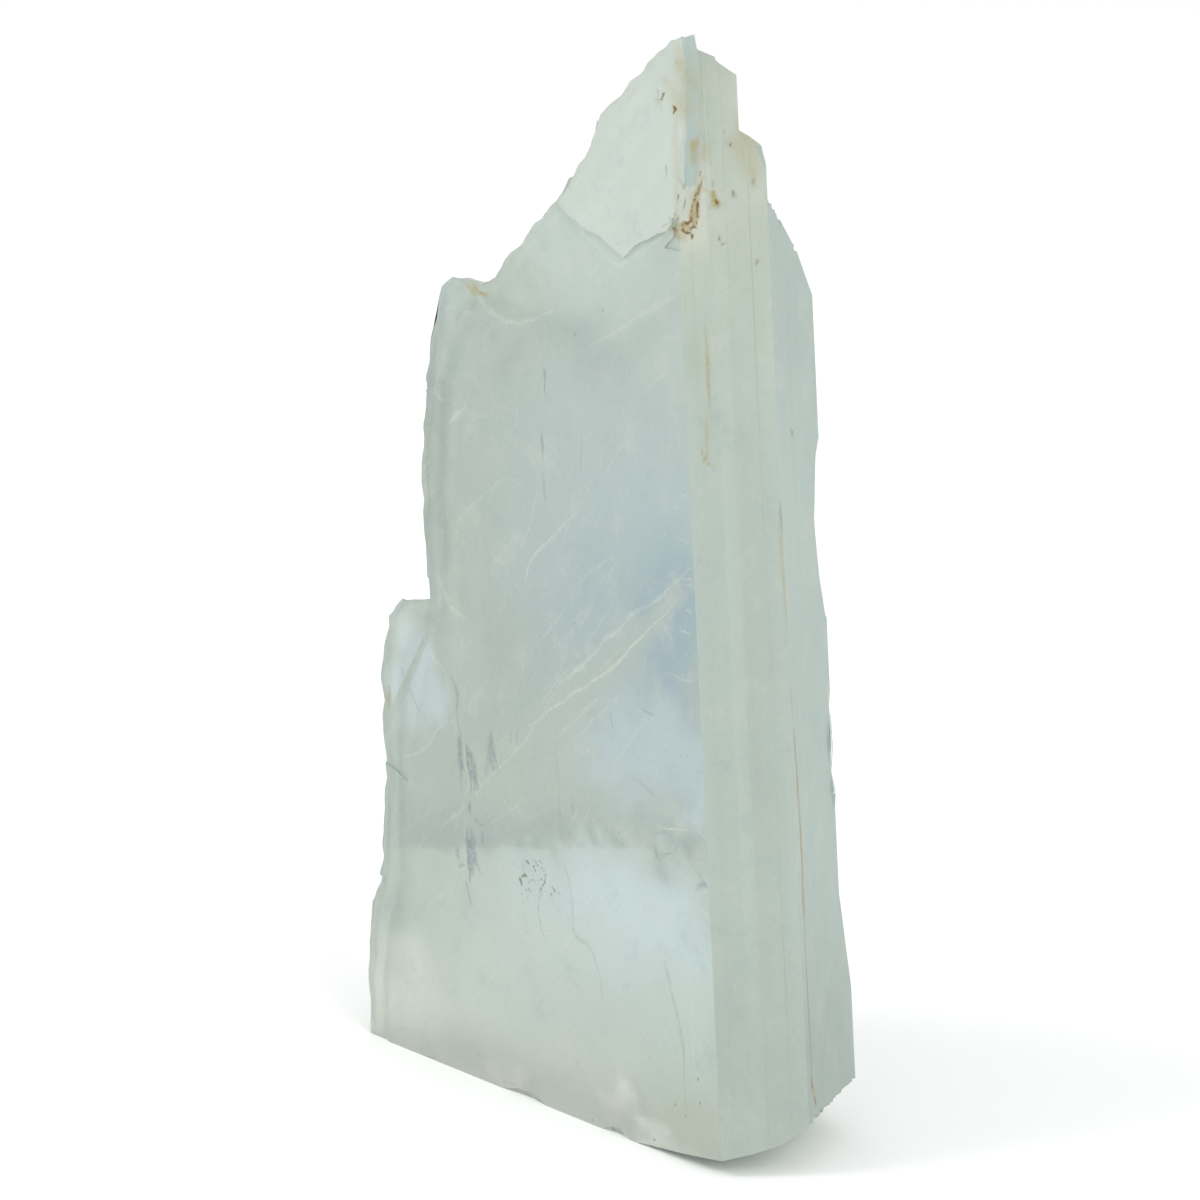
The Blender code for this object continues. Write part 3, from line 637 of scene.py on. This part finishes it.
DIRT = [
    ([(-16.9, -0.6, 177.0), (-16.9, -0.6, 175.6)], 0.75, 0.4),
    ([(-12.9, -0.5, 175.2), (-12.3, -0.5, 174.4)], 0.88, 0.34),
    ([(-13.8, -0.5, 172.5), (-13.8, -0.5, 172.3)], 0.25, 0.92),
    ([(-10.6, 6.4, 176.0), (-10.6, 6.4, 175.6)], 0.25, 0.57),
    ([(-11.9, 4.8, 175.2), (-11.9, 4.8, 175.0)], 0.25, 0.57),
    ([(-9.2, 7.7, 172.9), (-9.0, 7.8, 172.3)], 0.43, 0.69),
    ([(-7.2, 10.6, 175.4), (-7.2, 10.6, 173.8)], 0.28, 0.57),
    ([(-14.1, -0.5, 195.5), (-14.1, -0.5, 195.3)], 0.3, 0.57),
    ([(-19.3, -0.6, 189.8), (-19.2, -0.6, 189.2)], 0.2, 0.69),
    ([(-18.5, -0.6, 166.0), (-16.0, -0.5, 167.3)], 0.25, 0.46),
    ([(-6.5, 18.4, 130.2), (-7.2, 19.9, 128.7)], 0.35, 0.8),
    ([(-9.9, 24.4, 124.4), (-9.9, 24.4, 123.8)], 0.38, 0.69),
    ([(-8.9, 29.4, 72.0), (-8.9, 29.6, 69.0)], 0.56, 1.0),
    ([(2.6, 13.0, 78.0), (2.9, 13.0, 71.0)], 0.22, 0.46),
    ([(1.0, 13.4, 80.0), (1.9, 14.5, 59.4), (3.2, 14.2, 45.3), (4.3, 14.4, 31.0),
      (5.2, 14.5, 17.0)], 0.45, 0.7),
    ([(-1.4, 12.2, 120.0), (-0.9, 12.3, 111.0)], 0.35, 0.7),
]

# Every mark is laid out as a smooth route. The flat faces are divided along those that lie on them, and the
# front also along the sharp lower edge of a shadowed band, which climbs to the right.
LEAST_AREA = 20.0
GRID_SPACING = 2.4
RING_TURNS = (0.0, 1.26, 2.51, 3.77, 5.03)
BAND_SLOPE = 0.235
BAND_FOOT = 60.0
# The veils include painted highlights along the edges of thin plates, where the steps catch the light
veils = laid_out(VEILS_AND_GLINTS + random_veils(random.Random(11)))
partings = laid_out(PARTINGS)
cracks = laid_out(CRACKS)
grains = CLUSTER + LOOSE_GRAINS + scattered_grains(random.Random(7))
flat_rust = [([(point[0], point[-1]) for point in points], width, strength)
             for points, width, strength in RUST + STAINS + DIRT if max(point[1] for point in points) < 1.1]
rows = rows_along(veils + partings + cracks + laid_out(flat_rust, 0.5, 0.2))
for (x, z), size, strength in grains:
    rows.append([(x, z)])
    rows.append([(x + size * math.cos(turn), z + size * math.sin(turn)) for turn in RING_TURNS])
for side in (-0.4, 0.4):
    rows.append([(x, BAND_FOOT + BAND_SLOPE * x + side + 0.5 * grain(Vector((x, 1.0, 0.0)), 5.0))
                 for x in np.arange(-98.0, -6.0, 1.2)])
veils_behind = laid_out(random_veils(random.Random(12)))
rows_behind = rows_along(veils_behind)
broad_faces = [face for face in shape.faces if abs(face.normal.y) > 0.9999]
for face in [face for face in broad_faces if face.calc_area() > LEAST_AREA * MM * MM]:
    divide_flat_face(shape, face, rows_behind if face.normal.y > 0.0 else rows, GRID_SPACING)

rust = laid_out(RUST, 0.5, 0.2)
stains = laid_out(STAINS, 0.8, 0.3)
dirt = laid_out(DIRT, 0.5, 0.2)
bmesh.ops.triangulate(shape, faces=[face for face in shape.faces if len(face.verts) > 4])
for face in shape.faces:
    face.smooth = not is_crystal_face(face)
for edge in shape.edges:
    between_ends = all(face.smooth for face in edge.link_faces)
    edge.smooth = between_ends and edge.calc_face_angle(3.0) < math.radians(24)
shape.to_mesh(slab_mesh)
shape.free()
crystal = bpy.data.objects.new("crystal_body", slab_mesh)
bpy.context.scene.collection.objects.link(crystal)
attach(crystal, "root")
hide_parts("selenite_slab")


# Selenite, the clear kind of gypsum
# Soft and milky to clear, with a satin skin. It lets light through, greener where it is thick. A bluish
# window in the middle is clearer than the rest, and broken ends are frosted white. Tints and marks are laid
# on the corners of the faces and broken up by fine mottling.
def srgb(hex_colour):
    """An sRGB hex colour as linear red, green, blue and alpha."""
    parts = [int(hex_colour[index:index + 2], 16) / 255 for index in (1, 3, 5)]
    return [part / 12.92 if part <= 0.04045 else ((part + 0.055) / 1.055) ** 2.4 for part in parts] + [1.0]


def soft_step(value, start, end):
    """Go smoothly from 0 to 1 while a value goes from start to end."""
    share = np.clip((value - start) / (end - start), 0.0, 1.0)
    return share * share * (3 - 2 * share)


def lay(amount, hex_colour):
    """Lay a colour over the tint of every corner by an amount."""
    tint[:] += np.asarray(amount)[..., None] * (np.array(srgb(hex_colour)[:3]) - tint)


def cover(points, marks):
    """How strongly the marks cover each point: most on their middle line, nothing at their half width."""
    strengths = np.zeros(len(points))
    for route, widths, strength in marks:
        route = np.array(route)
        widths = np.array(widths)
        reach = widths.max()
        near = np.flatnonzero((points > route.min(axis=0) - reach).all(axis=1) &
                              (points < route.max(axis=0) + reach).all(axis=1))
        if len(near):
            gaps, share = distance_to(points[near], route[:-1], route[1:])
            width = widths[:-1] * (1 - share) + widths[1:] * share
            found = strength * np.clip(1.25 * (1.0 - gaps / width), 0.0, 1.0).max(axis=1)
            strengths[near] = np.maximum(strengths[near], found)
    return strengths


def lay_on_corners(name, values):
    """Store a value with three parts on each corner of the faces."""
    slab_mesh.attributes.new(name, "FLOAT_VECTOR", "CORNER").data.foreach_set(
        "vector", np.asarray(values, dtype=np.float32).ravel())


places = np.empty(3 * len(slab_mesh.vertices))
slab_mesh.vertices.foreach_get("co", places)
places = (places.reshape(-1, 3) - np.array(foot)) / MM
vert_of = np.empty(len(slab_mesh.loops), dtype=np.int32)
slab_mesh.loops.foreach_get("vertex_index", vert_of)
sizes = np.empty(len(slab_mesh.polygons), dtype=np.int32)
slab_mesh.polygons.foreach_get("loop_total", sizes)
normals = np.empty(3 * len(slab_mesh.polygons))
slab_mesh.polygons.foreach_get("normal", normals)
normals = np.repeat(normals.reshape(-1, 3), sizes, axis=0)
astray = np.array([(grain(Vector(place), 7.0, 20.0), grain(Vector(place), 7.0, 80.0)) for place in places])
x, y, z = places[vert_of].T
wide_x, wide_z = (places[:, ::2] + 5.0 * astray)[vert_of].T
near_x, near_z = (places[:, ::2] + 1.2 * astray)[vert_of].T
front = (normals[:, 1] < -0.93) & (y < 1.3)
on_main = (normals @ np.array(outward(main_edge, ridge)) > 0.8) & ~front
on_back = (normals @ np.array(outward(ridge, back_edge)) > 0.8) & ~front
behind = normals[:, 1] > 0.8
bevel = (normals[:, 1] < -0.5) & (x < -60.0)
ends = ~(front | on_main | on_back | behind | bevel)

# Clouds of the broad face: middle (across, height) and half size in millimetres, softness, strength, colour
CLOUDS = [
    # Along the foot the face is paler, partly its own milky tone and partly painted light that lifts the
    # shade near the floor
    ((-60.0, 6.0), (52.0, 13.0), 0.7, 0.95, "#dfe7db"),
    ((-78.0, 24.0), (22.0, 18.0), 0.7, 0.8, "#cfdad0"),
    ((-48.0, 157.0), (22.0, 11.0), 0.5, 0.8, "#d0dcd4"),
    ((-25.0, 152.0), (30.0, 12.0), 0.6, 0.8, "#c9d7d1"),
    ((-63.0, 148.0), (13.0, 6.0), 0.3, 0.7, "#c4cfc3"),
    ((-80.0, 136.0), (9.0, 16.0), 0.5, 0.6, "#c2d0cd"),
    ((-66.0, 128.0), (12.0, 10.0), 0.6, 0.4, "#bbc8bf"),
    ((-38.0, 106.0), (26.0, 34.0), 0.6, 0.75, "#bbcbcc"),
    ((-20.0, 112.0), (16.0, 22.0), 0.6, 0.6, "#b7cbcf"),
    ((-30.0, 88.0), (26.0, 18.0), 0.6, 0.75, "#afc1c5"),
    ((-14.0, 94.0), (10.0, 15.0), 0.5, 0.9, "#a2b8c2"),
    ((-84.5, 118.0), (4.5, 24.0), 0.6, 0.8, "#aebbb3"),
    ((-36.0, 128.0), (22.0, 10.0), 0.7, 0.5, "#c2cfcb"),
    ((-9.5, 75.0), (3.0, 30.0), 0.5, 0.5, "#bdc8bd"),
    ((-8.0, 66.0), (3.4, 4.6), 0.5, 0.9, "#c3d7dc"),
    ((-28.0, 64.0), (9.0, 3.6), 0.6, 0.5, "#bbc4b9"),
    ((-30.0, 71.0), (24.0, 9.0), 0.6, 0.9, "#c2d2d7"),
    ((-12.0, 72.0), (8.0, 8.0), 0.6, 0.7, "#c2d5db"),
    ((-64.0, 76.0), (16.0, 14.0), 0.7, 0.5, "#b6c1b9"),
    ((-89.5, 71.5), (7.5, 9.5), 0.35, 0.9, "#d0e0e2"),
    ((-89.0, 52.0), (10.0, 12.0), 0.5, 0.6, "#becac3"),
    ((-30.0, 37.0), (30.0, 14.0), 0.6, 1.0, "#d6e6e8"),
    ((-48.0, 25.0), (26.0, 14.0), 0.7, 0.7, "#d2ded7"),
    ((-14.0, 24.0), (12.0, 14.0), 0.6, 0.7, "#d0dfd6"),
    ((-92.0, 9.0), (10.0, 12.0), 0.5, 0.9, "#e4ebe0"),
    ((-10.0, 6.0), (16.0, 9.0), 0.6, 0.8, "#c6cdbf"),
    # Pale chips at the foot, painted near-white, brighter than their own colour, to show through the shade
    # near the floor
    ((-31.0, 6.5), (6.0, 2.2), 0.35, 0.8, "#f2f5ec"),
    ((-62.0, 1.4), (6.0, 1.8), 0.35, 0.7, "#f2f5ec"),
    ((-21.0, 3.6), (4.0, 2.0), 0.35, 0.7, "#eef2e8"),
]
tint = np.tile(srgb("#bfcbc2")[:3], (len(x), 1))
for (middle_x, middle_z), (half_x, half_z), softness, strength, colour in CLOUDS:
    away = np.hypot((wide_x - middle_x) / half_x, (wide_z - middle_z) / half_z)
    lay(strength * (1.0 - soft_step(away, 1 - softness, 1 + softness)), colour)

# A shadowed band crosses the crystal low down. Its lower edge is sharp and climbs to the right, where the
# band grows faint and breaks into blotches.
band = near_z - BAND_SLOPE * near_x
patch = np.array([grain(Vector(place), 3.4, 40.0) for place in places])[vert_of]
fading = np.interp(x, [-98.0, -88.0, -76.0, -50.0, -42.0, -8.0], [0.3, 0.7, 0.85, 0.8, 0.5, 0.45])
fading = np.clip(fading + 1.3 * patch * (x > -60.0), 0, 1)
lower_edge = soft_step(band, BAND_FOOT - 0.5, BAND_FOOT + 0.4)
lay(lower_edge * (1.0 - soft_step(band, 61.0, 74.0)) * fading, "#aebab5")

# The fan of veils that opens up to the right from the foot of the partings is filled with pale beige
fan = laid_out([([(-73.0, 50.0), (-56.0, 63.0), (-44.0, 75.0), (-30.0, 88.0), (-14.0, 103.0)], 7.0, 0.8),
                ([(-72.0, 49.0), (-52.0, 59.0), (-38.0, 69.0)], 5.0, 0.5)])
fan_cover = np.zeros(len(places))
on_face = np.zeros(len(places), dtype=bool)
on_face[vert_of[front]] = True
fan_cover[on_face] = cover(places[on_face][:, ::2], fan)
lay(np.minimum(1.0, 1.4 * fan_cover[vert_of]) * front * 0.75, "#bfc9c0")

# The proud top plate is paler than the broad face below it, and beige at its corner by the hollow
lay(soft_step(-y, 0.2, 0.4), "#d8e2da")
lay(0.6 * front * soft_step(x, -15.5, -13.0) * soft_step(z, 160.0, 164.0), "#dadfd2")

# Prism faces: soft stripes along the crystal, greyer than the broad face, and beige near the top
run = (ridge - main_edge).normalized()
across = (x - main_edge.x) * run.x + y * run.y + LEAN * run.x * z
stripes = [(0.0, "#c6d4cb"), (1.6, "#c3d0c6"), (5.3, "#c3d0c6"), (5.8, "#c9d6cb"), (8.0, "#c8d3c8"),
           (8.5, "#c1ccc1"), (12.4, "#c2cec4"), (15.5, "#c6d2c9")]
stripe_places = [place for place, colour in stripes]
stripe_colours = np.array([srgb(colour)[:3] for place, colour in stripes])
stripe_tint = np.stack(
    [np.interp(across, stripe_places, stripe_colours[:, part]) for part in range(3)], axis=1)
tint[on_main] = stripe_tint[on_main]
lay(0.6 * on_main * (1.0 - soft_step(z, 10.0, 60.0)), "#c2ccc3")
lay(0.8 * on_main * soft_step(z, 110.0, 170.0), "#cdd6c8")
# Beside the top plate the main prism face is laid beige, partly its own stain and partly painted light that
# lifts the shade of the strip
lay(0.8 * on_main * (across < 5.0) * soft_step(z, 158.0, 168.0), "#e2e3d3")
tint[on_back] = srgb("#bfcfc9")[:3]
lay(0.7 * on_back * (1.0 - soft_step(z, 10.0, 60.0)), "#b5c5bd")

# Broken ends: frosted white, layer on layer
squeezed = places * (0.05, 1.7, 0.05)
layer = np.array([grain(Vector(place), 1.0) for place in squeezed])[vert_of]
tint[ends] = srgb("#bccac0")[:3]
lay(ends * soft_step(layer, -0.2, 0.25), "#d8e1d9")
# Painted light: the wall beside the top plate faces away from the lights and is painted near-white, paler
# than its own beige white, to lift its shade
lay(ends * (y < 6.0) * (normals[:, 0] > 0.6) * soft_step(z, 150.0, 160.0), "#e3e5da")
# Painted light: the broken steps at the top of the broad face face down into shade and are painted pale to
# lift it
lay(ends * (y < 1.2) * (normals[:, 0] < 0.6) * soft_step(z, 140.0, 150.0), "#e6ece5")

# The foot is bruised to a pale rim
lay(0.8 * (front | on_main) * (1.0 - soft_step(z, 0.6, 2.6)), "#e6ece2")

# The marks and the foreign matter, each kind as one part of a value on the corners
flat = places[:, ::2]
marks = np.zeros((len(places), 3))
for part, found in enumerate((veils, partings, cracks)):
    marks[on_face, part] = cover(flat[on_face], found)
seen_behind = np.zeros(len(places))
seen_behind[vert_of[behind]] = cover(flat[vert_of[behind]], veils_behind)
marks = marks[vert_of] * front[:, None]
marks[:, 0] += seen_behind[vert_of] * behind
foreign = np.stack([cover(places, rust), cover(places, stains), cover(places, dirt)], axis=1)
for (grain_x, grain_z), size, strength in grains:
    foreign[:, 2] = np.maximum(foreign[:, 2], on_face * strength * np.clip(
        1.6 * (1.0 - np.hypot(flat[:, 0] - grain_x, flat[:, 1] - grain_z) / size), 0.0, 1.0))
lay_on_corners("tint", tint)
lay_on_corners("marks", marks)
lay_on_corners("rust", foreign[vert_of])

selenite = bpy.data.materials.new("selenite")
selenite.use_nodes = True
nodes = selenite.node_tree.nodes
links = selenite.node_tree.links


def add(kind, inputs=None, output=0, **settings):
    """Add a node with its settings, values and links, and give one of its outputs."""
    made = nodes.new("ShaderNode" + kind)
    for name, value in settings.items():
        setattr(made, name, value)
    for name, value in (inputs or {}).items():
        if isinstance(value, bpy.types.NodeSocket):
            links.new(value, made.inputs[name])
        else:
            made.inputs[name].default_value = value
    return made.outputs[output]


def streaked(amount, noise_value, start, end, least, most, colour, streak_colour):
    """Lay a streak colour over a colour by an amount that the noise thins out here and there."""
    thinning = add("MapRange", {0: noise_value, 1: start, 2: end, 3: least, 4: most},
                   interpolation_type="SMOOTHSTEP")
    share = add("Math", {0: amount, 1: thinning}, operation="MULTIPLY", use_clamp=True)
    return add("Mix", {0: share, 6: colour, 7: srgb(streak_colour)}, 2, data_type="RGBA")


# Mottling in patches of about 8 mm. The grain of the skin is 0.1 to 0.3 mm, and its specks are drawn at
# about 0.8 mm, as coarse as they need to be to show.
PATCHES_PER_MM = 0.13
SPECKS_PER_MM = 1.3
in_mm = add("VectorMath", {0: add("TexCoord", output=3), 1: [1 / MM] * 3}, operation="MULTIPLY")
mottle = add("TexNoise", {"Vector": in_mm, "Scale": PATCHES_PER_MM, "Detail": 7.0, "Roughness": 0.74})
specks = add("TexNoise", {"Vector": in_mm, "Scale": SPECKS_PER_MM, "Detail": 5.0, "Roughness": 0.7})
marks_laid = add("Attribute", output=1, attribute_name="marks")
rust_laid = add("Attribute", output=1, attribute_name="rust")
veil_and_glint, parting, crack = [add("SeparateXYZ", {0: marks_laid}, part) for part in range(3)]
rusty, stained, dirty = [add("SeparateXYZ", {0: rust_laid}, part) for part in range(3)]
colour = add("Attribute", output=1, attribute_name="tint")
colour = streaked(1.0, mottle, 0.5, 0.74, 0.0, 0.5, colour, "#dcddd4")
colour = streaked(1.0, mottle, 0.48, 0.26, 0.0, 0.38, colour, "#a3b4b8")
colour = streaked(1.0, specks, 0.56, 0.72, 0.0, 0.45, colour, "#e0e6dd")
colour = streaked(1.0, specks, 0.44, 0.28, 0.0, 0.3, colour, "#a9b4ab")
# Pale veils, and painted highlights along the edges of thin plates
colour = streaked(veil_and_glint, specks, 0.32, 0.62, 0.25, 0.85, colour, "#e4ebe0")
colour = streaked(parting, specks, 0.34, 0.62, 0.3, 1.1, colour, "#84929b")
colour = streaked(crack, specks, 0.36, 0.64, 0.15, 1.0, colour, "#838e7b")
colour = streaked(dirty, specks, 0.3, 0.6, 0.6, 1.3, colour, "#696d60")
colour = streaked(stained, specks, 0.3, 0.62, 0.35, 1.1, colour, "#b9a566")
colour = streaked(rusty, specks, 0.35, 0.55, 0.25, 1.7, colour, "#805818")
relief = add("Bump", {"Strength": 0.15, "Distance": 0.2 * MM, "Height": specks})

shader = nodes["Principled BSDF"]
shader.inputs["Roughness"].default_value = 0.45
shader.inputs["IOR"].default_value = 1.52
shader.inputs["Transmission Weight"].default_value = 0.5
links.new(colour, shader.inputs["Base Color"])
links.new(relief, shader.inputs["Normal"])
absorption = nodes.new("ShaderNodeVolumeAbsorption")
absorption.inputs["Color"].default_value = srgb("#c2d2c8")
absorption.inputs["Density"].default_value = 9.0
links.new(absorption.outputs[0], nodes["Material Output"].inputs["Volume"])
slab_mesh.materials.clear()
slab_mesh.materials.append(selenite)


# Floor
# A wide sheet of matt white paper for the slab to stand on. It isn't part of the object.
floor_mesh = bpy.data.meshes.new("floor")
sheet = bmesh.new()
bmesh.ops.create_grid(sheet, x_segments=1, y_segments=1, size=6.0)
sheet.to_mesh(floor_mesh)
sheet.free()
floor = bpy.data.objects.new("floor", floor_mesh)
bpy.context.scene.collection.objects.link(floor)
paper = bpy.data.materials.new("matt white paper")
paper.use_nodes = True
paper.node_tree.nodes["Principled BSDF"].inputs["Base Color"].default_value = srgb("#f4f5f4")
paper.node_tree.nodes["Principled BSDF"].inputs["Roughness"].default_value = 0.9
floor_mesh.materials.append(paper)


# Light and camera
# A bright plain room with two large soft boxes, one ahead and one on the right. The camera stands where the
# photograph was taken from, on the right and a little above.
world = bpy.data.worlds.new("soft studio")
bpy.context.scene.world = world
world.use_nodes = True
world.node_tree.nodes["Background"].inputs["Color"].default_value = (1.0, 1.0, 1.0, 1.0)
world.node_tree.nodes["Background"].inputs["Strength"].default_value = 0.95


def soft_light(name, place_at, aim_at, size, watts):
    """A square soft box."""
    lamp = bpy.data.lights.new(name, "AREA")
    lamp.energy = watts
    lamp.shape = "SQUARE"
    lamp.size = size
    lit = bpy.data.objects.new(name, lamp)
    lit.location = place_at
    lit.rotation_euler = (Vector(aim_at) - Vector(place_at)).to_track_quat("-Z", "Y").to_euler()
    bpy.context.scene.collection.objects.link(lit)


soft_light("key", (-0.6, -1.2, 1.4), (0, 0, 0.1), 0.9, 10.0)
soft_light("side", (1.5, -0.2, 0.9), (0, 0, 0.1), 0.9, 11.0)

AZIMUTH = math.radians(52.0)
ELEVATION = math.radians(15.0)
DISTANCE = 1.5
PX_PER_MM = 5.68
PICTURE_WIDTH_PX = 1200
aim = Vector((0.001, -0.0072, 0.0923))
back = Vector((math.sin(AZIMUTH) * math.cos(ELEVATION), -math.cos(AZIMUTH) * math.cos(ELEVATION),
               math.sin(ELEVATION)))
camera_data = bpy.data.cameras.new("camera")
camera_data.sensor_width = 36.0
camera_data.lens = 36.0 * PX_PER_MM * DISTANCE / MM / PICTURE_WIDTH_PX
camera = bpy.data.objects.new("camera", camera_data)
camera.location = aim + back * DISTANCE
camera.rotation_euler = (-back).to_track_quat("-Z", "Y").to_euler()
bpy.context.scene.collection.objects.link(camera)
bpy.context.scene.camera = camera
bpy.context.scene.view_settings.view_transform = "Standard"
